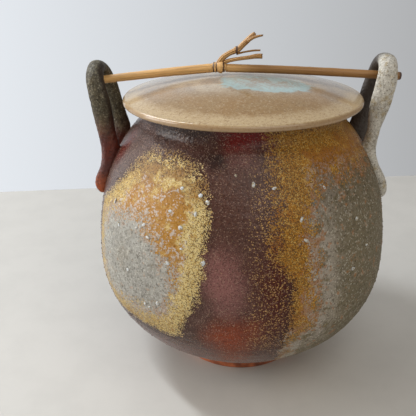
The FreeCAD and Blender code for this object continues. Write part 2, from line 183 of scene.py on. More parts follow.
class StageSettings(PropertyGroup):
    """Camera, light and the plain surroundings."""

    camera_back: length("Camera distance", "Distance in front of the pot's axis", 347.5)
    camera_height: length("Camera height", "Height above the table", 257.6)
    pitch: angle_property("Pitch", "Downward tilt", 24.46)
    yaw: angle_property("Yaw", "Turn to the right", -3.61)
    roll: angle_property("Roll", "Lean of the camera", -0.53)
    lens: number_property("Lens", "Focal length on a 36 mm sensor", 48.46, unit="CAMERA")
    key_power: number_property("Window light", "Power of the light on the left", 8.2)
    strip_power: number_property("Skylight", "Power of the long light up on the left", 7.0)
    ceiling_power: number_property("Ceiling light", "Power of the light overhead", 11.0)
    room_strength: number_property("Room light", "Strength of the soft room light", 0.95)
    table: paint("Table", "Pale table top", "c3c0ba")
    room_left: paint("Room, left", "Colour of the room on the window's side", "f4f9ff")
    room_right: paint("Room, right", "Colour of the room on the far side", "7d7a76")
    room_front: paint("Room, front", "Colour of the dim room before the pot", "676059")


class BeanPotSettings(PropertyGroup):
    """All settings of the bean pot."""

    pot: PointerProperty(type=PotSettings)
    lid: PointerProperty(type=LidSettings)
    lugs: PointerProperty(type=LugSettings)
    twig: PointerProperty(type=TwigSettings)
    stage: PointerProperty(type=StageSettings)


# --- nodes
def feed(tree, socket, value):
    """Set an input to a value or a colour, or link it to a field or another node's output."""
    value = getattr(value, "socket", value)
    if isinstance(value, NodeSocket):
        tree.links.new(value, socket)
    elif socket.type == "RGBA":
        colour = tint(TINTS.get(value, value)) if isinstance(value, str) else value
        socket.default_value = (*colour, 1.0)
    else:
        socket.default_value = value


def add_node(tree, kind, inputs=None, **settings):
    """Add a node with its settings and its inputs, which go by name or by number."""
    node = tree.nodes.new(kind)
    for name, value in settings.items():
        setattr(node, name, value)
    for name, value in (inputs or {}).items():
        feed(tree, node.inputs[name], value)
    return node


def mixed(tree, first, second, share):
    """From the first colour to the second as share goes from 0 to 1."""
    inputs = {0: share, 6: first, 7: second}
    return add_node(tree, "ShaderNodeMix", inputs, data_type="RGBA").outputs[2]


def math_method(operation):
    """A method of a field that adds a Math node of this kind."""
    return lambda field, *others: field.apply(operation, *others)


class Field:
    """A number that varies over a surface; arithmetic on it adds Math nodes."""

    def __init__(self, shader, socket):
        self.shader = shader
        self.socket = socket

    def apply(self, operation, *others):
        return self.shader.field("ShaderNodeMath", 0, dict(enumerate((self, *others))), operation=operation)

    __add__ = __radd__ = math_method("ADD")
    __sub__ = math_method("SUBTRACT")
    __mul__ = __rmul__ = math_method("MULTIPLY")
    __abs__ = math_method("ABSOLUTE")
    most = math_method("MAXIMUM")
    least = math_method("MINIMUM")
    root = math_method("SQRT")
    sine = math_method("SINE")

    def __neg__(self):
        return self * -1.0

    def __rsub__(self, other):
        return -self + other

    def wrapped(self):
        """Degrees brought between -180 and 180."""
        return self.apply("WRAP", 180.0, -180.0)

    def fade(self, start, end):
        """0 at start, 1 at end, with soft shoulders; start may be the larger."""
        low, high = min(start, end), max(start, end)
        rising = start < end
        inputs = {"Value": self, "From Min": low, "From Max": high}
        inputs |= {"To Min": 1.0 - rising, "To Max": float(rising)}
        return self.shader.field("ShaderNodeMapRange", "Result", inputs, interpolation_type="SMOOTHSTEP")


class Shader:
    """A procedural material on a Principled surface."""

    def __init__(self, name):
        self.material = bpy.data.materials.new(name)
        self.material.use_nodes = True
        self.tree = self.material.node_tree
        self.tree.nodes.clear()
        self.surface = self.add("ShaderNodeBsdfPrincipled")
        self.add("ShaderNodeOutputMaterial", {"Surface": self.surface.outputs["BSDF"]})
        self.position = self.add("ShaderNodeTexCoord").outputs["Object"]

    def add(self, kind, inputs=None, **settings):
        return add_node(self.tree, kind, inputs, **settings)

    def field(self, kind, output, inputs=None, **settings):
        """One output of a new node, as a field."""
        return Field(self, self.add(kind, inputs, **settings).outputs[output])

    def axes(self):
        """The object's x, y and z in millimetres."""
        parts = self.add("ShaderNodeSeparateXYZ", {"Vector": self.position})
        return [Field(self, part) * (1 / MM) for part in parts.outputs]

    def azimuth(self, x, y):
        """Degrees round the pot's axis, 0 at the front and positive to the right."""
        return x.apply("ARCTAN2", -y) * math.degrees(1)

    def clouds(self, place, scale, detail, roughness, seed):
        inputs = {"Vector": place, "Scale": scale, "Detail": detail, "Roughness": roughness, "W": seed}
        return self.field("ShaderNodeTexNoise", 0, inputs, noise_dimensions="4D")

    def noise(self, grain, detail=2.0, roughness=0.5, seed=0.0):
        """Cloudy values about 0.5 with features of the given size in millimetres."""
        return self.clouds(self.position, 1 / (grain * MM), detail, roughness, seed)

    def fibres(self, detail, seed):
        """Cloudy values about 0.5 laid along the piece's own UV."""
        place = self.add("ShaderNodeUVMap", uv_map="fibre").outputs[0]
        return self.clouds(place, 1.0, detail, 0.5, seed)

    def attribute(self, name):
        """A value kept on the mesh's points."""
        return self.field("ShaderNodeAttribute", "Fac", attribute_name=name)

    def stipple(self, grain, seed=0.0):
        """Three chances, even between 0 and 1, that jump from one small cell to the next."""
        place = self.add("ShaderNodeVectorMath", {0: self.position, 1: (seed, seed, seed)}, operation="ADD")
        cells = self.add("ShaderNodeTexVoronoi", {"Vector": place.outputs[0], "Scale": 1 / (grain * MM)})
        parts = self.add("ShaderNodeSeparateColor", {"Color": cells.outputs["Color"]})
        return [Field(self, output) for output in parts.outputs]

    def layers(self, colour, *coats):
        """Lay coats of (colour, share) over a first colour, one after the other."""
        for coat, share in coats:
            colour = mixed(self.tree, colour, coat, share)
        return colour

    def tune(self, colour, roughness, height, depth, **constants):
        """Connect the colour, roughness and relief, and set the surface's constants."""
        bump = self.add("ShaderNodeBump", {"Height": height, "Distance": depth * MM, "Strength": 1.0})
        inputs = {"Base Color": colour, "Roughness": roughness, "Normal": bump.outputs["Normal"]}
        for name, value in (inputs | constants).items():
            feed(self.tree, self.surface.inputs[name.replace("_", " ")], value)
        return self.material


# --- finishes
# Where one degree round the belly is about this many millimetres.
MM_PER_DEGREE = 1.6

# Flashes of the bare clay, besides a painted sheen low on the belly and painted shade under the lid: azimuth,
# height, half width, half height, colour.
CLAY_FLASHES = {
    # Painted sheen: the lighter mauve low on the belly stands for the table's reflection.
    "low_table_sheen": (-30, 30, 120, 20, "7d625b"),
    "low_rose": (-3, 36, 9, 18, "854a34"),
    "left_shoulder": (-58, 143, 34, 24, "5f4c44"),
    "left_red_edge": (-72, 150, 9, 13, "5c2018"),
    "under_left": (-28, 60, 26, 12, "452c20"),
    "dark_band": (-5, 134, 10, 36, "55382f"),
    "dark_left_arm": (-11, 160, 10, 6, "2d1915"),
    "dark_right_arm": (7, 161, 5, 6, "2d1915"),
    "pink_bloom": (-5, 97, 9, 23, "865954"),
    "red_flank": (12, 88, 11, 40, "491003"),
    "orange_glow": (-2, 62, 11, 19, "86360f"),
    "mauve_wedge": (1, 160, 8, 8, "65403a"),
    # Painted shade: the dark band on the neck under the lid's overhang.
    "neck_shadow": (-36, 170, 40, 6, "2b1914"),
    "collar_red": (4, 171, 18, 10, "700200"),
    "back_orange": (176, 84, 26, 40, "7c4024"),
    "back_mauve": (-128, 96, 30, 46, "66504b"),
}

# Patches of ash that landed: a rounded box as azimuth, height, half width, half height
# and corner radius (degrees across, millimetres up and for the corner), then straight
# edges that cut it back, as a point (azimuth, height) and the way out (across, up).
GOLD_LEFT = (-41, 106, 27.5, 46, 22), (-66, 120, -0.67, 0.75), (-14.5, 98, 0.944, -0.327)
GOLD_RIGHT = (86, 92, 68, 80, 16), (20, 96, -0.995, 0.08)
GOLD_BACK = ((-172, 148, 44, 15, 15),)
ASH_LEFT = (-45, 94, 22, 29, 24), (-34, 117, 0.66, 0.75)
ASH_RIGHT = ((93, 84, 68, 64, 18),)
ASH_RIGHT_FOOT = ((80, 44, 63, 24, 16),)


def patch_depths(on, *patches):
    """Depth inside each patch of ash on the unrolled wall, in millimetres; negative outside."""
    for (middle, level, half_width, half_height, corner_radius), *edges in patches:
        turn = (on.around - middle).wrapped()
        across = abs(turn * MM_PER_DEGREE) - (half_width * MM_PER_DEGREE - corner_radius)
        up = abs(on.height - level) - (half_height - corner_radius)
        outside = (across.most(0.0) * across.most(0.0) + up.most(0.0) * up.most(0.0)).root()
        depth = corner_radius - outside - across.most(up).least(0.0)
        for azimuth, height, lean_across, lean_up in edges:
            norm = math.hypot(lean_across, lean_up)
            behind = (on.around - azimuth) * (-MM_PER_DEGREE * lean_across / norm)
            depth = depth.least(behind + (on.height - height) * (-lean_up / norm))
        yield depth


def wall_fields(shader):
    """The places, chances and clouds that the wall's clay, gold and ash share."""
    on = SimpleNamespace()
    x, y, on.z = shader.axes()
    on.azimuth = shader.azimuth(x, y)
    on.side = on.azimuth.fade(-8, 12)
    sway = shader.noise(26, 3, seed=1) - 0.5
    lift = shader.noise(22, 3, seed=2) - 0.5
    fray = shader.noise(6, 2, seed=3) - 0.5
    on.around = on.azimuth + sway * 6 + fray * 5
    on.height = on.z + lift * 8 + fray * 7
    on.drifted = on.around + sway * 8
    on.risen = on.height + lift * 10
    on.chance, on.shade, on.extra = shader.stipple(0.48)
    on.grain_chance, on.grain_shade, on.fleck = shader.stipple(0.75, seed=0.3)
    on.fine = shader.noise(1.5, 2, 0.6, seed=4)
    on.dots = shader.noise(3.2, 2, 0.55, seed=5)
    on.clouds = shader.noise(8, 3, 0.6, seed=6)
    on.broad = shader.noise(19, 4, 0.55, seed=7)
    return on


def flashed_clay(shader, on, settings):
    """Clay coloured by the flame, with fine dark and pale specks, a painted sheen low on the belly and
    painted shade on the neck under the lid.
    """
    clay = shader.layers(settings.clay, ("umber", on.broad.fade(0.42, 0.68)))
    for middle, level, half_width, half_height, code in CLAY_FLASHES.values():
        turn = (on.drifted - middle).wrapped() * (1 / half_width)
        rise = (on.risen - level) * (1 / half_height)
        share = (turn * turn + rise * rise).root().fade(1.25, 0.1)
        clay = shader.layers(clay, (code, share))
    dark, pale = on.shade.fade(0.36, 0.1), on.shade.fade(0.84, 0.98)
    return shader.layers(clay, ("char", dark * 0.55), ("sand", pale * 0.42))


def melted_gold(shader, on, settings, clay):
    """Thin melted ash over the clay, strewn in drops that thin out past its edges.

    Returns the colour, the share of gold and the depth inside the gold patches."""
    z = on.z
    left, right, back = patch_depths(on, GOLD_LEFT, GOLD_RIGHT, GOLD_BACK)
    inside = left.most(right).most(back)
    high, upper = z.fade(132, 150), z.fade(90, 118)
    left_density = (left + 4) * (0.19 - high * 0.1)
    right_density = (right + upper * 14 + 2) * (0.17 - upper * 0.11)
    strays = on.around.fade(0, 7) * on.around.fade(34, 18) * z.fade(44, 62) * z.fade(164, 148)
    low_strays = z.fade(38, 52) * z.fade(88, 64)
    density = left_density.most(right_density).most((back - 4) * 0.04) + 0.5
    density = density + (on.fine - 0.5) * density.fade(0.0, 0.2) * 1.2
    density = density.most(strays * 0.13 + low_strays * 0.015 + 0.006)
    gold_share = (density - on.chance).fade(-0.03, 0.09)

    runs = on.clouds * 0.6 + on.dots * 0.4 + inside.fade(2, 15) * 0.2
    streaks = on.clouds * 0.7 + on.dots * 0.3 + inside.fade(3, 16) * 0.14 - high * 0.06
    blots = on.clouds + on.dots * 0.4
    pale = shader.layers(
        settings.gold_left,
        ("straw", (on.extra + on.around.fade(-34, -17) * 0.4).fade(0.5, 0.9) * 0.8),
        (settings.ochre, runs.fade(0.52, 0.68) * 0.9),
        ("bronze", high * blots.fade(0.56, 0.76) * 0.8),
    )
    deep = shader.layers(
        settings.gold_right,
        ("brass", on.extra.fade(0.56, 0.9) * 0.8),
        ("rust", streaks.fade(0.49, 0.64) * 0.8),
        ("olive_gold", z.fade(128, 152) * blots.fade(0.52, 0.74) * 0.25),
    )
    stray = shader.layers("stray_left", ("stray_right", on.side))
    dark = (inside.fade(16, -3) * 0.26 + on.side * 0.1 + 0.05 - on.shade).fade(-0.05, 0.06)
    gold = shader.layers(
        pale,
        (deep, on.side),
        (stray, density.fade(0.45, 0.1) * 0.85),
        ("burnt_gold", dark * density.fade(0.2, 0.7) * 0.8),
    )
    fringe = inside.fade(-12, -1) * inside.fade(5, -1)
    return shader.layers(clay, ("soot", fringe * 0.55), (gold, gold_share)), gold_share, inside


def thick_ash(shader, on, settings, body, inside):
    """Thick grey ash inside the gold, with milky spots round it and painted shade on its upper right.

    Returns the colour and the share of ash."""
    left, right, foot = patch_depths(on, ASH_LEFT, ASH_RIGHT, ASH_RIGHT_FOOT)
    depth = left.most(right.most(foot))
    milky = depth.fade(-32, 4) * (0.36 - on.side * 0.06) + (on.dots * 0.6 + on.fine * 0.4 - 0.53) * 3.4
    milky = (milky - on.grain_chance * 0.7).fade(-0.14, 0.16) * inside.fade(3, 9)
    lilac = shader.layers(settings.lilac, ("grey_lilac", on.side))
    mottle = on.fine * 0.5 + on.dots * 0.5
    freckles = (on.dots + depth.fade(14, 0) * 0.12).fade(0.60, 0.70)
    ash = shader.layers(
        settings.ash_left,
        (settings.ash_right, on.side),
        ("khaki", on.broad.fade(0.45, 0.66) * 0.3),
        (
            shader.layers("rim_left", ("rim_right", on.side)),
            depth.fade(30, 2) * on.clouds.fade(0.38, 0.56) * on.azimuth.fade(60, 34) * 0.9,
        ),
        # Painted shade: darker towards the top on the right side.
        ("upper_right_shade", on.side * on.z.fade(112, 150) * 0.6),
        ("bark", mottle.fade(0.47, 0.37) * 0.36),
        ("chalk", mottle.fade(0.53, 0.65) * 0.36),
        ("pepper", on.fleck.fade(0.2, 0.05) * 0.5),
        ("salt", on.fleck.fade(0.86, 0.97) * 0.35),
        ("rust", freckles * (0.3 + on.side * 0.3)),
    )
    density = depth * 0.08 + (on.clouds - 0.5) * 1.7 + (on.dots - 0.5) * 1.3 + 0.45
    ash_share = (density - on.grain_shade).fade(-0.2, 0.2)
    return shader.layers(body, (lilac, milky * on.z.fade(160, 150) * 0.6), (ash, ash_share)), ash_share


def wood_fired(settings):
    """Wood-fired wall: flashed clay under gold and grey ash, speckled at every edge."""
    shader = Shader("wood_fired_wall")
    on = wall_fields(shader)
    clay = flashed_clay(shader, on, settings)
    body, gold_share, inside = melted_gold(shader, on, settings, clay)
    body, ash_share = thick_ash(shader, on, settings, body, inside)
    relief = on.fine + on.dots * 0.9 + gold_share * 0.2 + ash_share * 0.25 + on.chance * 0.12
    roughness = 0.17 + gold_share * 0.17 + ash_share * 0.28 + on.fine * 0.12
    return shader.tune(body, roughness, relief, 0.42, Specular_IOR_Level=0.28)


def ash_flake():
    """Milky flakes of half-melted ash."""
    shader = Shader("ash_flake")
    speck = shader.noise(1.2, 2, 0.6)
    colour = shader.layers("milk", ("bone", speck.fade(0.44, 0.60)))
    return shader.tune(colour, 0.35 + speck * 0.2, speck, 0.2)


def bare_stoneware(settings):
    """Unglazed orange clay with fine sand and turning marks."""
    shader = Shader("bare_stoneware")
    z = shader.axes()[2]
    sand = shader.noise(1.4, 2, 0.6)
    cloud = shader.noise(9, 4, seed=1)
    colour = shader.layers(
        settings.bare_clay, ("burnt_clay", cloud.fade(0.4, 0.68)), ("sand_grain", sand.fade(0.6, 0.72) * 0.5)
    )
    rings = (z * 4.2 + cloud * 3).sine()
    return shader.tune(colour, 0.62 + sand * 0.2, sand + rings * 0.3, 0.12)


def lid_glaze(settings):
    """Glossy honey and taupe glaze with an ice-blue pool near the crown, and painted shade at the back and on
    the rim's side.
    """
    shader = Shader("lid_glaze")
    x, y, z = shader.axes()
    cloud = shader.noise(15, 4, 0.6)
    drift = shader.noise(6, 3, seed=1) - 0.5
    fine = shader.noise(1.6, 2, 0.6, seed=2)
    dark, light, _ = shader.stipple(0.6)
    radius = (x * x + y * y).root() + drift * 8
    front = (y + cloud * 20 - 10).fade(-18, -48)
    band = radius.fade(34, 50) * radius.fade(70, 60) * y.fade(0, -30)

    across = (x - 13) * (1 / 28)
    along = (y + 17) * (1 / 17.5)
    scallop = shader.noise(6, 2, 0.6, seed=3) - 0.5
    reach = (across * across + along * along).root() + scallop * 0.6 + drift * 0.3
    pool_share = reach.fade(1.05, 0.88) * y.fade(6, -12)
    milk = (fine + drift * 0.8).fade(0.40, 0.62)
    pool = shader.layers(
        settings.taupe,
        (settings.pool, milk * 0.6 + reach.fade(0.1, 0.7) * 0.4),
        ("ice", reach.fade(0.6, 0.95) * y.fade(-8, -24) * 0.7),
    )
    colour = shader.layers(
        settings.taupe,
        ("warm_taupe", cloud.fade(0.4, 0.62)),
        (settings.honey, front),
        ("amber", band * cloud.fade(0.3, 0.6) * 0.6),
        (settings.straw, radius.fade(60, 68) * 0.75),
        # Painted shade: darker taupe towards the lid's back.
        ("back_shade_taupe", y.fade(5, 62) * 0.85),
        (settings.fleck, fine.fade(0.52, 0.72) * (0.2 + front * 0.4)),
        ("cream", fine.fade(0.44, 0.30) * 0.2),
        (settings.fleck, dark.fade(0.22, 0.06) * 0.35),
        ("pale_speck", light.fade(0.84, 0.97) * 0.15),
        # Painted shade: the rim's side below its upper edge is darkened.
        ("rim_side_shade", z.fade(178.3, 177.3) * 0.6),
        (pool, pool_share * 0.85),
    )
    relief = cloud * 0.6 + shader.noise(2.6, 2, seed=4) * 0.3
    return shader.tune(colour, 0.1 + fine * 0.08 + pool_share * 0.08, relief, 0.2)


def strap_fields(shader):
    """Fine grain, dots, clouds and the chances of a dark and a light speck on a strap."""
    dark, light, _ = shader.stipple(0.6)
    dots = shader.noise(3.6, 3, 0.6, seed=1)
    return shader.noise(1.6, 2, 0.65), dots, shader.noise(11, 4, seed=2), dark, light


def mossy_ash(settings):
    """Left lug: grey-green ash above, glossy oxblood clay below, and painted shade on the side facing the
    lid.
    """
    shader = Shader("mossy_ash")
    _, y, z = shader.axes()
    fine, dots, cloud, dark, light = strap_fields(shader)
    lid_side = (shader.attribute("lid_side") + dots * 0.5 - 0.25).fade(0.25, 0.6) * y.fade(2, -4)
    ash = shader.layers(
        settings.moss,
        ("lichen", dots.fade(0.46, 0.64) * 0.5),
        ("dry_moss", (cloud + dots * 0.3).fade(0.66, 0.8) * 0.3),
        ("dark_pit", dark.fade(0.25, 0.08) * 0.55),
        ("grey_salt", light.fade(0.84, 0.97) * 0.28),
        ("bog", fine.fade(0.50, 0.66) * 0.6),
        ("grey_chalk", fine.fade(0.44, 0.30) * 0.3),
        # Painted shade: dark on the side that faces the lid.
        ("lid_shadow", lid_side * z.fade(212, 196) * 0.85),
    )
    fired = shader.layers(
        settings.oxblood,
        ("brick", cloud.fade(0.48, 0.66)),
        ("orange_clay", z.fade(134, 120) * 0.7),
        ("black_clay", fine.fade(0.52, 0.68) * 0.5),
    )
    share = (z + cloud * 22 + dots * 8 + y * 0.35).fade(181, 158)
    colour = shader.layers(ash, (fired, share))
    roughness = 0.46 + share * -0.3 + fine * 0.12
    return shader.tune(colour, roughness, fine + dots * 0.9, 0.5, Specular_IOR_Level=0.35)


def pale_ash(settings):
    """Right lug: pale pitted ash with ochre freckles, and painted shade on its back and lower parts."""
    shader = Shader("pale_ash")
    _, y, z = shader.axes()
    fine, dots, cloud, dark, light = strap_fields(shader)
    shaded = (y + dots * 6 - 3).fade(-7, 3) * z.fade(214, 198)
    colour = shader.layers(
        settings.pale_ash,
        ("dull_ash", cloud.fade(0.44, 0.62) * 0.7),
        ("ochre_fleck", (dots + cloud * 0.3).fade(0.66, 0.8) * 0.5),
        ("brown_pit", dark.fade(0.2, 0.06) * 0.55),
        ("white_salt", light.fade(0.84, 0.97) * 0.4),
        ("brown_grain", fine.fade(0.56, 0.70) * 0.55),
        ("white_grain", fine.fade(0.46, 0.32) * 0.5),
        # Painted shade: the back leg, seen through the loop, darkened below the top.
        (settings.shade, shaded * 0.94),
    )
    return shader.tune(colour, 0.58 + shaded * -0.1 + fine * 0.12, fine + dots * 0.9, 0.5)


def bamboo(name, settings, rings=(), age=0.0):
    """Dried bamboo with lengthwise fibres; rings are dark bands as (x, half width, lowest z)."""
    shader = Shader(name)
    x, _, z = shader.axes()
    fibre = shader.fibres(3.0, 0.0)
    streak = shader.fibres(1.0, 4.0)
    spot = shader.noise(2.2, 2, 0.6)
    scars = [
        abs(x + spot * 1.6 - 0.8 - middle).fade(half_width, half_width * 0.4) * z.fade(lowest - 0.5, lowest)
        for middle, half_width, lowest in rings
    ]
    colour = shader.layers(
        settings.bamboo,
        ("pale_fibre", fibre.fade(0.5, 0.64) * 0.7),
        (settings.bamboo_dark, fibre.fade(0.45, 0.34) * 0.6),
        ("old_fibre", streak.fade(0.54 - age * 0.12, 0.68 - age * 0.1) * (0.35 + age * 0.5)),
        ("brown_side", x.fade(-14, 14) * (0.78 - age * 0.36)),
        (settings.node_dark, spot.fade(0.64 - age * 0.06, 0.74) * (0.4 + age * 0.2)),
        *((settings.node_dark, scar * 0.92) for scar in scars),
    )
    return shader.tune(colour, 0.38 + fibre * 0.2, fibre, 0.2)


def table_top(settings):
    """A plain matt table with a faint cloudiness."""
    shader = Shader("table_top")
    cloud = shader.noise(30, 4, 0.6)
    dimmer = tuple(part * 0.96 for part in settings.table)
    colour = shader.layers(settings.table, (dimmer, cloud.fade(0.4, 0.65)))
    return shader.tune(colour, 0.55, cloud, 0.1)


# --- meshes
def add_object(name, data):
    """A new object at the origin."""
    piece = bpy.data.objects.new(name, data)
    bpy.context.scene.collection.objects.link(piece)
    return piece


def new_object(name, points, faces, material, smooth=True):
    """A mesh object at the origin."""
    mesh = bpy.data.meshes.new(name)
    mesh.from_pydata([tuple(p) for p in points], [], faces)
    mesh.update()
    mesh.materials.append(material)
    if smooth:
        mesh.shade_smooth()
    return add_object(name, mesh)


def seat(piece, body, slot, *nodes):
    """Let a finished piece ride on its body and stand for its CAD nodes."""
    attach(piece, body)
    if nodes:
        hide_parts(*nodes)


def cad_tree(node):
    """The solid of a CAD node, ready for casting rays."""
    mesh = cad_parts[node].data
    return BVHTree.FromPolygons([v.co for v in mesh.vertices], [p.vertices for p in mesh.polygons])


def heights(node):
    """The lowest and the highest z of a CAD node."""
    return (end.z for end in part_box(node))


def radius_outside(tree, height):
    """Outer radius of a turned solid at a height."""
    hit = tree.ray_cast(Vector((1, 0, height)), Vector((-1, 0, 0)))[0]
    return hit.x


def radius_inside(tree, height):
    """Inner radius of a turned hollow at a height."""
    hit = tree.ray_cast(Vector((0, 0, height)), Vector((1, 0, 0)))[0]
    return hit.x


def steps(start, end, pitch):
    """Evenly spaced values from start to end, both included, about pitch apart."""
    count = max(2, int(round(abs(end - start) / pitch)) + 1)
    return list(np.linspace(start, end, count))


def corner(centre, radius, start, end, count=6):
    """Points on an arc in the outline's plane; angles in degrees."""
    turns = np.radians(np.linspace(start, end, count))
    return [(centre[0] + radius * math.cos(t), centre[1] + radius * math.sin(t)) for t in turns]


def turned(name, outline_points, sides, shape, material):
    """Turn a closed outline of (radius, height) points; shape moves each point."""
    points, rings = [], []
    for radius, height in outline_points:
        on_axis = radius < 1e-7
        start = len(points)
        for j in range(1 if on_axis else sides):
            turn = 2 * math.pi * j / sides
            out, up = shape(turn, radius, height)
            points.append((out * math.sin(turn), -out * math.cos(turn), up))
        rings.append([start] * sides if on_axis else range(start, start + sides))
    faces = []
    for ring, following in zip(rings, rings[1:] + rings[:1]):
        for j in range(sides):
            right = (j + 1) % sides
            face = tuple(dict.fromkeys((ring[j], ring[right], following[right], following[j])))
            if len(face) > 2:
                faces.append(face)
    return new_object(name, points, faces, material)


def settle(piece):
    """Carry out a piece's modifiers and remove them."""
    graph = bpy.context.evaluated_depsgraph_get()
    mesh = bpy.data.meshes.new_from_object(piece.evaluated_get(graph))
    piece.modifiers.clear()
    piece.data = mesh


def grain_tree():
    """Node group that sets a flattened grain on every point, lying along its outward vector."""
    tree = bpy.data.node_groups.new("grains", "GeometryNodeTree")
    tree.interface.new_socket("Geometry", in_out="OUTPUT", socket_type="NodeSocketGeometry")
    kinds = {"Geometry": "Geometry", "Material": "Material", "Radius": "Float", "Flatness": "Float"}
    for label, kind in (kinds | {"Fineness": "Int", "Seed": "Int"}).items():
        tree.interface.new_socket(label, in_out="INPUT", socket_type=f"NodeSocket{kind}")
    source = tree.nodes.new("NodeGroupInput").outputs

    def grown(kind, output=0, **inputs):
        """An output of a new node; inputs start with a capital and settings don't."""
        settings = {name: inputs.pop(name) for name in list(inputs) if name.islower()}
        inputs = {name.replace("_", " "): value for name, value in inputs.items()}
        return add_node(tree, kind, inputs, **settings).outputs[output]

    def chance(low, high):
        """A random vector for each grain."""
        kind = "FunctionNodeRandomValue"
        return grown(kind, "Value", data_type="FLOAT_VECTOR", Min=low, Max=high, Seed=source["Seed"])

    outward = grown("GeometryNodeInputNamedAttribute", "Attribute", data_type="FLOAT_VECTOR", Name="outward")
    upright = grown("FunctionNodeAlignRotationToVector", axis="Z", Vector=outward)
    spin = chance((-0.3, -0.3, -3.1), (0.3, 0.3, 3.1))
    turn = grown("FunctionNodeRotateRotation", rotation_space="LOCAL", Rotation=upright, Rotate_By=spin)
    flat = grown("ShaderNodeCombineXYZ", X=1, Y=1, Z=source["Flatness"])
    spread = chance((0.4, 0.3, 0.4), (1.0, 0.75, 1.0))
    size = add_node(tree, "ShaderNodeVectorMath", {0: spread, 1: flat}, operation="MULTIPLY").outputs[0]
    fineness, radius, points = source["Fineness"], source["Radius"], source["Geometry"]
    grain = grown("GeometryNodeMeshIcoSphere", "Mesh", Subdivisions=fineness, Radius=radius)
    placed = grown("GeometryNodeInstanceOnPoints", Points=points, Instance=grain, Rotation=turn, Scale=size)
    whole = grown("GeometryNodeRealizeInstances", Geometry=placed)
    painted = grown("GeometryNodeSetMaterial", Geometry=whole, Material=source["Material"])
    add_node(tree, "NodeGroupOutput", {"Geometry": painted})
    return tree


def strew(name, places, smooth, values):
    """Set grains on (point, outward) places and return them as one plain mesh."""
    mesh = bpy.data.meshes.new(name)
    mesh.from_pydata([point for point, _ in places], [], [])
    outward = mesh.attributes.new("outward", "FLOAT_VECTOR", "POINT")
    outward.data.foreach_set("vector", np.array([out for _, out in places], np.float32).ravel())
    piece = add_object(name, mesh)
    modifier = piece.modifiers.new("grains", "NODES")
    modifier.node_group = grain_tree()
    for item in modifier.node_group.interface.items_tree:
        if item.in_out == "INPUT" and item.name in values:
            modifier[item.identifier] = values[item.name]
    settle(piece)
    if smooth:
        piece.data.shade_smooth()
    else:
        piece.data.shade_flat()
    return piece


# --- the pot
def settings():
    """The scene's settings of the bean pot."""
    return bpy.context.scene.bean_pot


# Corners round the turned pieces.
WALL_SIDES, FOOT_SIDES, LID_SIDES = 352, 220, 300
# Thickness of the pot's floor.
FLOOR = 8 * MM
# The wobble grows in over this height above the foot, and stays this far from the axis.
TRUE_TURNED = 20 * MM


class BEANPOT_OT_wall(Operator):
    """Throw the pot's wall with its neck, rim and hollow"""

    bl_idname = "bean_pot.wall"
    bl_label = "Pot wall"

    def execute(self, context):
        pot = settings().pot
        tree = cad_tree("pot_body")
        low, high = heights("pot_body")
        edge, outer_pitch, inner_pitch = pot.rim_round, 1.15 * MM, 3.5 * MM
        rise = steps(low + 0.01 * MM, high - edge, outer_pitch)
        outer = [radius_outside(tree, height) - pot.skin for height in rise]
        for _ in range(3):
            outer[1:-1] = [(a + 2 * b + c) / 4 for a, b, c in zip(outer, outer[1:], outer[2:])]
        inner_rise = steps(high - edge, low + FLOOR + 1 * MM, inner_pitch)
        inner = [radius_inside(tree, height) for height in inner_rise]
        points = [(0, low)] + [(share * outer[0], low) for share in (0.4, 0.8, 0.97)]
        points += list(zip(outer, rise))
        points += corner((outer[-1] - edge, high - edge), edge, 0, 90)[1:]
        points += corner((inner[0] + edge, high - edge), edge, 90, 180)[:-1]
        points += list(zip(inner, inner_rise))
        points += [(share * inner[-1], low + FLOOR + 0.2 * MM) for share in (0.9, 0.4)] + [(0, low + FLOOR)]

        def throw(turn, radius, height):
            share = min(1.0, max(0.0, (height - low) / TRUE_TURNED))
            sway = 0.5 - 0.5 * math.sin(2 * turn + 0.6 + height * 9)
            rings = math.sin(2 * math.pi * height / pot.throwing_pitch + turn + 2 * math.sin(height * 60))
            shrink = pot.wobble * sway + pot.throwing_depth * (1 + rings)
            return max(0.0, radius - shrink * share * (radius > TRUE_TURNED)), height

        wall = turned("pot_wall", points, WALL_SIDES, throw, wood_fired(pot))
        seat(wall, "pot", "ash_glazed_stoneware", "pot_body")
        return {"FINISHED"}


def wall_place(tree, azimuth, height, sink):
    """Point sunk into the wall's outside and the outward direction there."""
    turn = math.radians(azimuth)
    here = radius_outside(tree, height)
    slope = (radius_outside(tree, height + 0.5 * MM) - radius_outside(tree, height - 0.5 * MM)) / MM
    outward = Vector((math.sin(turn), -math.cos(turn), -slope)).normalized()
    return Vector((here * math.sin(turn), -here * math.cos(turn), height)) - outward * sink, outward


# Flakes of ash that stand out on the wall: azimuth and height.
CHIPS = (
    (-51, 114), (-40, 118), (-34, 115), (-20, 114), (-57, 125), (-23, 144), (-15, 142), (-12, 139), (-2, 152),
    (5, 148), (13, 146), (-16, 133), (-12, 108), (-25, 104), (-29, 77), (-26, 132), (-21, 125), (22, 130),
    (23, 119), (34, 143), (52, 104), (47, 122), (26, 96),
)
# Where else flakes fall: azimuths of the ash patches, and how far round and up from them.
CHIP_PATCHES, CHIP_SPREAD, CHIP_HEIGHTS = (-38, 52, -158), 24, (66, 150)
# A little over the belly's radius, against which a ring's share of the grit is drawn.
WIDEST = 96 * MM
GRIT_SEED = 11


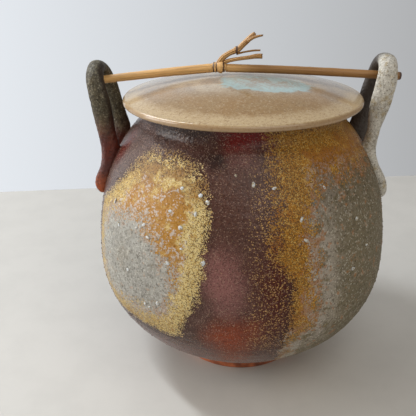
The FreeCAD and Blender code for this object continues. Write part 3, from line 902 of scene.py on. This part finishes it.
class BEANPOT_OT_grit(Operator):
    """Strew the sand that breaks through the wall and the flakes of ash on it"""

    bl_idname = "bean_pot.grit"
    bl_label = "Grit and ash flakes"

    def execute(self, context):
        pot = settings().pot
        tree = cad_tree("pot_body")
        low, high = heights("pot_body")
        draw = random.Random(GRIT_SEED)
        grains = []
        while len(grains) < pot.grit_count:
            azimuth = draw.uniform(-180, 180)
            height = draw.uniform(low + 3 * MM, high - 11 * MM)
            if draw.random() * WIDEST < radius_outside(tree, height):
                grains.append(wall_place(tree, azimuth, height, pot.skin + 0.1 * MM))
        wall = bpy.data.materials["wood_fired_wall"]
        look = {"Radius": pot.grit_size, "Flatness": 0.6, "Fineness": 1, "Seed": 5, "Material": wall}
        seat(strew("grit", grains, True, look), "pot", "ash_glazed_stoneware")

        spots = list(CHIPS)
        for _ in range(pot.chip_count):
            azimuth = draw.choice(CHIP_PATCHES) + draw.uniform(-CHIP_SPREAD, CHIP_SPREAD)
            spots.append((azimuth, draw.uniform(*CHIP_HEIGHTS)))
        places = [wall_place(tree, azimuth, height * MM, pot.skin) for azimuth, height in spots]
        look = {"Radius": pot.chip_size, "Flatness": 0.36, "Fineness": 1, "Seed": 9, "Material": ash_flake()}
        seat(strew("ash_flakes", places, False, look), "pot", "ash_glazed_stoneware")
        return {"FINISHED"}


class BEANPOT_OT_foot(Operator):
    """Turn the bare foot ring"""

    bl_idname = "bean_pot.foot"
    bl_label = "Foot ring"

    def execute(self, context):
        tree = cad_tree("foot_ring")
        low, high = heights("foot_ring")
        edge, groove_pitch, groove_depth = 1.2 * MM, 2.1 * MM, 0.06 * MM
        rise = steps(low + edge, high, 0.6 * MM)
        outer = [radius_outside(tree, min(height, high - 0.01 * MM)) for height in rise]
        inner = radius_inside(tree, (low + high) / 2)
        points = corner((inner + edge, low + edge), edge, 180, 270)
        points += [(radius, low) for radius in steps(inner + 1.5 * edge, outer[0] - 1.5 * edge, 1.5 * MM)]
        points += corner((outer[0] - edge, low + edge), edge, 270, 360)[:-1]
        points += list(zip(outer, rise))
        points += [(inner, height) for height in steps(high, low + 2 * edge, 1.2 * MM)]

        def trim(turn, radius, height):
            groove = math.sin(2 * math.pi * height / groove_pitch + turn)
            return radius - groove_depth * (1 + groove) * (height > low + edge), height

        foot = turned("foot", points, FOOT_SIDES, trim, bare_stoneware(settings().pot))
        seat(foot, "pot", "bare_stoneware", "foot_ring")
        return {"FINISHED"}


class BEANPOT_OT_lid(Operator):
    """Turn the domed lid and finish its locating flange"""

    bl_idname = "bean_pot.lid"
    bl_label = "Lid"

    def execute(self, context):
        lid = settings().lid
        tree = cad_tree("lid_disc")
        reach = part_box("lid_disc")[1].x
        up = Vector((0, 0, 1))

        def surface(radius, from_above):
            start = Vector((max(radius, 0.01 * MM), 0, 1 if from_above else 0))
            return tree.ray_cast(start, -up if from_above else up)[0].z

        edge = lid.rim_round
        inner = reach - edge
        spread = [inner * (1 - (1 - share) ** 2) for share in np.linspace(0, 1, 90)]
        under = [(radius, surface(radius, False)) for radius in spread[::3]]
        over = [(radius, surface(radius, True)) for radius in reversed(spread)]
        under[0] = (0, under[0][1])
        over[-1] = (0, over[-1][1])
        foot_edge = 0.6 * edge
        top_edge = over[0][1] - edge
        rim = corner((reach - foot_edge, under[-1][1] + foot_edge), foot_edge, 300, 360)
        rim += [(reach, height) for height in steps(rim[-1][1], top_edge, 0.6 * MM)[1:-1]]
        rim += corner((reach - edge, top_edge), edge, 0, 84, 9)

        def throw(turn, radius, height):
            sway = 0.12 * MM * (math.sin(2 * turn + 1) - 1) * radius / reach
            return radius, height + sway * (height > top_edge)

        dome = turned("lid_dome", under + rim + over, LID_SIDES, throw, lid_glaze(lid))
        seat(dome, "lid", "honey_ash_glaze", "lid_disc")
        for slot_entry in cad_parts["lid_flange"].material_slots:
            slot_entry.material = bpy.data.materials["bare_stoneware"]
        return {"FINISHED"}


# --- the straps
class BEANPOT_OT_lugs(Operator):
    """Pull the two strap lugs and crust them with ash"""

    bl_idname = "bean_pot.lugs"
    bl_label = "Strap lugs"

    def execute(self, context):
        lugs = settings().lugs
        wall = cad_tree("pot_body")
        straps = (
            ("left", -1, mossy_ash(lugs), "dark_ash_stoneware"),
            ("right", 1, pale_ash(lugs), "pale_ash_stoneware"),
        )
        for name, side, material, slot in straps:
            node = f"lug_{name}"
            piece = add_object(f"strap_{name}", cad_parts[node].data.copy())
            piece.modifiers.new("weld", "WELD").merge_threshold = 0.01 * MM
            remesh = piece.modifiers.new("remesh", "REMESH")
            remesh.mode = "VOXEL"
            remesh.voxel_size = lugs.voxel
            piece.modifiers.new("soften", "SMOOTH").iterations = 3
            settle(piece)
            knead(piece, lugs, side)
            lute(piece, wall)
            hold_inside(piece, node)
            mark_lid_side(piece)
            piece.data.materials.clear()
            piece.data.materials.append(material)
            piece.data.shade_smooth()
            seat(piece, "pot", slot, node)
        return {"FINISHED"}


def knead(piece, lugs, side):
    """Press hand-made unevenness, pulling grooves and pits into a strap."""
    seed = Vector((side * 3.1, 0.4, 1.7))

    def lumps(place, size, shift=seed):
        return noise.noise(place * (1 / (size * MM)) + shift)

    for vertex in piece.data.vertices:
        place = vertex.co.copy()
        pit = max(0.0, lumps(place, 1.9, -seed) - 0.45)
        skin = 0.8 * lumps(place, 3.2) + 0.6 * lumps(place, 1.1)
        push = lugs.knead * lumps(place, 11) + lugs.grain * skin - 1.6 * MM * pit
        vertex.co = place + vertex.normal * (push + 0.05 * MM)


def lute(piece, wall):
    """Press the side of a lug that touches the wall into it."""
    reach, press = 1.0 * MM, 1.4 * MM
    for vertex in piece.data.vertices:
        _, outward, _, distance = wall.find_nearest(vertex.co)
        if distance < reach:
            vertex.co -= outward * (press * (1 - distance / reach))


def hold_inside(piece, node):
    """Keep a piece's points within the size of its CAD node."""
    low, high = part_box(node)
    for vertex in piece.data.vertices:
        vertex.co = [min(max(value, start), end) for value, start, end in zip(vertex.co, low, high)]


def mark_lid_side(piece):
    """Keep on every point how far it faces the pot's axis, from 0 to 1."""
    mesh = piece.data
    facing = mesh.attributes.new("lid_side", "FLOAT", "POINT")
    values = [max(0.0, -math.copysign(1.0, v.co.x) * v.normal.x) for v in mesh.vertices]
    facing.data.foreach_set("value", values)


# --- the twig
# Branch stubs: how far each leans to the back for every millimetre to the right, and its
# points as millimetres right of the node's middle and above it, with the radius there.
BRANCHES = {
    "branch_upper": (0.06, (
        (-0.5, 1.5, 1.9), (2.0, 5.2, 1.75), (5.5, 7.7, 1.6), (9.0, 9.3, 1.75), (10.6, 10.1, 2.1),
        (12.2, 11.0, 1.75), (14.5, 13.2, 1.7), (17.5, 16.0, 1.7), (19.5, 18.0, 1.5), (21.6, 19.8, 1.0),
    )),
    "branch_fork": (-0.12, ((17.0, 15.4, 1.0), (20.0, 17.4, 0.9), (23.0, 18.4, 0.75), (26.0, 19.0, 0.5))),
    "branch_lower": (-0.10, (
        (1.2, 1.8, 1.2), (6.0, 3.9, 1.25), (12.0, 5.1, 1.15), (18.0, 6.0, 1.2), (22.5, 6.8, 1.45),
        (26.2, 6.9, 1.5),
    )),
    "branch_thin": (0.10, ((10.4, 7.6, 0.75), (15.0, 8.6, 0.55), (20.5, 9.4, 0.6), (25.0, 9.5, 0.5))),
}
# The node's sheath: millimetres right of the node's middle, and radius there.
SHEATH = (
    (-4.0, 2.75), (-3.2, 2.8), (-2.9, 3.15), (-2.4, 3.35), (-2.0, 3.0), (-1.5, 3.0), (-0.6, 3.3),
    (0.6, 3.7), (1.6, 3.85), (2.3, 3.6), (2.6, 3.05), (3.3, 2.7), (4.0, 2.45),
)
# Dark rings round the node: how far right of its middle, and half width.
NODE_RINGS = ((-3.4, 0.6), (-1.6, 0.45), (2.9, 0.6))
# Fibres counted round a stem, and how long one is.
FIBRES_ROUND = 22
FIBRE_LENGTH = 36 * MM
CULM_SIDES, SHEATH_SIDES, STUB_SIDES = 28, 32, 14
# How weathered the culms and the branch stubs are, from 0 to 1.
CULM_AGE, BRANCH_AGE = 0.15, 1.0
# How far the torn ends of the stubs are drawn out.
TEAR, THIN_TEAR = 1.6 * MM, 0.6 * MM


def swept(name, stations, sides, material, ragged=0.0, seed=3):
    """A closed stem through stations of (point, radius), with fibres along its UV."""
    draw = random.Random(seed)
    flat = Vector((0, 1, 0))
    last = len(stations) - 1
    points, lengths = [], []
    for row, (point, radius) in enumerate(stations):
        before, after = stations[max(row - 1, 0)][0], stations[min(row + 1, last)][0]
        lengths.append(lengths[-1] + (point - before).length if row else 0.0)
        forward = (after - before).normalized()
        up = forward.cross(flat).normalized()
        across = up.cross(forward)
        for side in range(sides):
            turn = 2 * math.pi * side / sides
            lump = 1 + 0.05 * noise.noise(point * 400 + Vector((math.cos(turn), math.sin(turn), seed)))
            tear = forward * (ragged * (draw.random() - 0.7)) if row == last else Vector()
            points.append(point + (across * math.cos(turn) + up * math.sin(turn)) * (radius * lump) + tear)

    faces, fibres = [], []

    def panel(corners, centre=None):
        """A face over (side, row) corners, and over a cap's centre."""
        faces.append([row * sides + side % sides for side, row in corners])
        fibres.extend((side / sides * FIBRES_ROUND, lengths[row] / FIBRE_LENGTH) for side, row in corners)
        if centre is not None:
            faces[-1].append(centre)
            fibres.append((0.5, 0.0))

    for row in range(last):
        for side in range(sides):
            panel(((side, row), (side, row + 1), (side + 1, row + 1), (side + 1, row)))
    for row, inner, sink, ends in ((0, 1, 0.0, (0, 1)), (last, last - 1, -0.25 if ragged else 0.0, (1, 0))):
        (point, radius), inside = stations[row], stations[inner][0]
        points.append(point + (point - inside).normalized() * radius * (sink + 0.08))
        for side in range(sides):
            panel([(side + end, row) for end in ends], len(points) - 1)
    piece = new_object(name, points, faces, material)
    uv = piece.data.uv_layers.new(name="fibre")
    uv.data.foreach_set("uv", np.array(fibres, np.float32).ravel())
    return piece


def smooth_path(stations, count):
    """Stations resampled along a smooth curve through the given ones."""
    result = []
    for number in range(len(stations) - 1):
        around = [stations[min(max(number + k, 0), len(stations) - 1)] for k in (-1, 0, 1, 2)]
        for step in range(count):
            t = step / count
            weights = (
                -0.5 * t + t * t - 0.5 * t**3,
                1 - 2.5 * t * t + 1.5 * t**3,
                0.5 * t + 2 * t * t - 1.5 * t**3,
                -0.5 * t * t + 0.5 * t**3,
            )
            point = sum((w * s[0] for w, s in zip(weights, around)), Vector())
            radius = sum(w * s[1] for w, s in zip(weights, around))
            result.append((point, radius))
    return result + [stations[-1]]


class BEANPOT_OT_twig(Operator):
    """Lay the bamboo twig through the lugs, with its node and branch stubs"""

    bl_idname = "bean_pot.twig"
    bl_label = "Bamboo twig"

    def execute(self, context):
        twig = settings().twig
        node_low, node_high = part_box("twig_node")
        left_low, left_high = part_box("twig_left")
        right_low, right_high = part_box("twig_right")
        # The twig's ends are darkened over a few millimetres.
        cut_ends = ((left_low.x / MM - 1.0, 5.0, 0), (right_high.x / MM + 0.4, 2.6, 0))
        wood = bamboo("bamboo", twig, cut_ends, CULM_AGE)
        # How far the culms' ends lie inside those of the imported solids.
        left_tuck, right_tuck = 0.4 * MM, 0.2 * MM
        left_root = Vector((node_low.x + left_tuck, 0, left_high.z - twig.left_radius))
        left_tip = Vector((left_low.x + left_tuck, 0, left_low.z + twig.end_radius))
        right_root = Vector((node_high.x - right_tuck, 0, right_high.z - twig.right_radius))
        right_tip = Vector((right_high.x - right_tuck, 0, right_low.z + twig.right_radius))
        # Where along a culm its blunt end begins, how long that is and how far it narrows.
        blunt_start, blunt_length, blunting = 0.992, 0.008, 0.14

        def culm(side, start, end, start_radius, end_radius, bow):
            stations = []
            for share in (*np.linspace(0, blunt_start, 69), 0.996, 1.0):
                point = start.lerp(end, share)
                point.z += bow * math.sin(math.pi * share)
                point.y += 0.4 * bow * math.sin(2 * math.pi * share)
                radius = start_radius + (end_radius - start_radius) * share
                radius *= 1 - blunting * max(0.0, (share - blunt_start) / blunt_length) ** 2
                stations.append((point, radius))
            name = f"culm_{side}"
            piece = swept(name, stations, CULM_SIDES, wood, seed=len(name))
            seat(piece, "twig", "bamboo", f"twig_{side}")

        culm("left", left_root, left_tip, twig.left_radius, twig.end_radius, twig.sag * 0.6)
        culm("right", right_root, right_tip, twig.right_radius, twig.right_radius, twig.sag)

        middle = Vector(((node_low.x + node_high.x) / 2, 0, (node_low.z + node_high.z) / 2))
        largest = (node_high.z - node_low.z) / 2
        stations = []
        for across, radius in SHEATH:
            drop = 0.6 * (1 - math.cos(math.pi * across / 8))
            stations.append((middle + Vector((across * MM, 0, -drop * MM)), min(radius * MM, largest)))
        left = middle.x / MM
        scar = bamboo("bamboo_node", twig, [(left + across, width, 0) for across, width in NODE_RINGS])
        joint = (left + 10.6, 1.0, middle.z / MM + 7.4)
        branch = bamboo("bamboo_branch", twig, [joint], BRANCH_AGE)
        sheath = swept("node_sheath", smooth_path(stations, 3), SHEATH_SIDES, scar, seed=5)
        seat(sheath, "twig", "bamboo_node", "twig_node")

        for name, (lean, route) in BRANCHES.items():
            stations = [
                (middle + Vector((across, across * lean, up)) * MM, radius * MM)
                for across, up, radius in route
            ]
            ragged = THIN_TEAR if name == "branch_thin" else TEAR
            stub = swept(f"{name}_stub", smooth_path(stations, 5), STUB_SIDES, branch, ragged, seed=len(name))
            replaced = [] if name == "branch_fork" else [name]
            seat(stub, "twig", "bamboo", *replaced)
        return {"FINISHED"}


# --- the stage
# The table's edge runs slightly away to the right.
TABLE = ((-1.5, -1.5, 0), (1.5, -1.5, 0), (1.5, 0.514, 0), (-1.5, 0.077, 0))
# Lights: place, way its width runs, size and colour.
LIGHTS = {
    "window": ((-1.05, -0.2, 0.42), (1, -1, 0), (0.7, 0.6), (1, 0.98, 0.96)),
    "skylight": ((-0.62, 0.2, 0.93), (0.42, -0.72, 0.54), (0.7, 0.06), (0.88, 0.94, 1)),
    "ceiling": ((0.5, -0.9, 1.1), (1, -1, 0), (1.6, 1.4), (1, 0.96, 0.9)),
}
# The point the lights look at.
AIM = Vector((0, 0, 0.1))


class BEANPOT_OT_stage(Operator):
    """Set the table, the room, the lights and the camera"""

    bl_idname = "bean_pot.stage"
    bl_label = "Stage"

    def execute(self, context):
        stage = settings().stage
        new_object("table_top", TABLE, [(0, 1, 2, 3)], table_top(stage), smooth=False)
        context.scene.view_settings.view_transform = "Standard"
        context.scene.world = self.room(stage)
        powers = (stage.key_power, stage.strip_power, stage.ceiling_power)
        for (name, look), power in zip(LIGHTS.items(), powers):
            self.light(name, *look, power)

        view = bpy.data.cameras.new("camera")
        view.lens = stage.lens
        view.sensor_width = 36
        camera = add_object("camera", view)
        camera.matrix_world = (
            Matrix.Translation((0, -stage.camera_back, stage.camera_height))
            @ Matrix.Rotation(-stage.yaw, 4, "Z")
            @ Matrix.Rotation(math.pi / 2 - stage.pitch, 4, "X")
            @ Matrix.Rotation(stage.roll, 4, "Z")
        )
        context.scene.camera = camera
        return {"FINISHED"}

    @staticmethod
    def room(stage):
        """A plain room, bright on the window's side, darker on the other and dim in front."""
        world = bpy.data.worlds.new("room")
        world.use_nodes = True
        tree = world.node_tree
        direction = add_node(tree, "ShaderNodeTexCoord").outputs["Generated"]
        parts = add_node(tree, "ShaderNodeSeparateXYZ", {0: direction}).outputs

        def across(axis, start, end, first, second):
            """One colour at the start along an axis, fading to a second at the end."""
            inputs = {"Value": parts[axis], "From Min": start, "From Max": end}
            share = add_node(tree, "ShaderNodeMapRange", inputs).outputs["Result"]
            return mixed(tree, first, second, share)

        sides = across("X", -0.55, 0.75, stage.room_left, stage.room_right)
        background = tree.nodes["Background"]
        feed(tree, background.inputs["Color"], across("Y", -0.35, 0.5, stage.room_front, sides))
        feed(tree, background.inputs["Strength"], stage.room_strength)
        return world

    @staticmethod
    def light(name, place, along, size, colour, power):
        """A soft rectangular light that looks at the pot, its width running along a direction."""
        lamp = bpy.data.lights.new(name, "AREA")
        lamp.shape = "RECTANGLE"
        lamp.size, lamp.size_y = size
        lamp.energy = power
        lamp.color = colour
        away = (Vector(place) - AIM).normalized()
        width = (Vector(along) - away * away.dot(Vector(along))).normalized()
        turn = Matrix((width, away.cross(width), away)).transposed()
        add_object(name, lamp).matrix_world = Matrix.Translation(place) @ turn.to_4x4()


class BEANPOT_PT_panel(Panel):
    """Lists the bean pot's pieces and settings"""

    bl_label = "Bean Pot"
    bl_idname = "BEANPOT_PT_panel"
    bl_space_type = "VIEW_3D"
    bl_region_type = "UI"
    bl_category = "Bean Pot"

    def draw(self, context):
        for operator in OPERATORS:
            self.layout.operator(operator.bl_idname)
        for part in BeanPotSettings.__annotations__:
            group = getattr(context.scene.bean_pot, part)
            box = self.layout.box()
            for name in group.__annotations__:
                box.prop(group, name)


OPERATORS = (
    BEANPOT_OT_stage,
    BEANPOT_OT_wall,
    BEANPOT_OT_grit,
    BEANPOT_OT_foot,
    BEANPOT_OT_lid,
    BEANPOT_OT_lugs,
    BEANPOT_OT_twig,
)
GROUPS = (PotSettings, LidSettings, LugSettings, TwigSettings, StageSettings, BeanPotSettings)
CLASSES = (*GROUPS, *OPERATORS, BEANPOT_PT_panel)


def register():
    for item in CLASSES:
        bpy.utils.register_class(item)
    bpy.types.Scene.bean_pot = PointerProperty(type=BeanPotSettings)


def unregister():
    del bpy.types.Scene.bean_pot
    for item in reversed(CLASSES):
        bpy.utils.unregister_class(item)


def main():
    register()
    for operator in OPERATORS:
        category, action = operator.bl_idname.split(".")
        getattr(getattr(bpy.ops, category), action)()


if __name__ == "__main__":
    main()
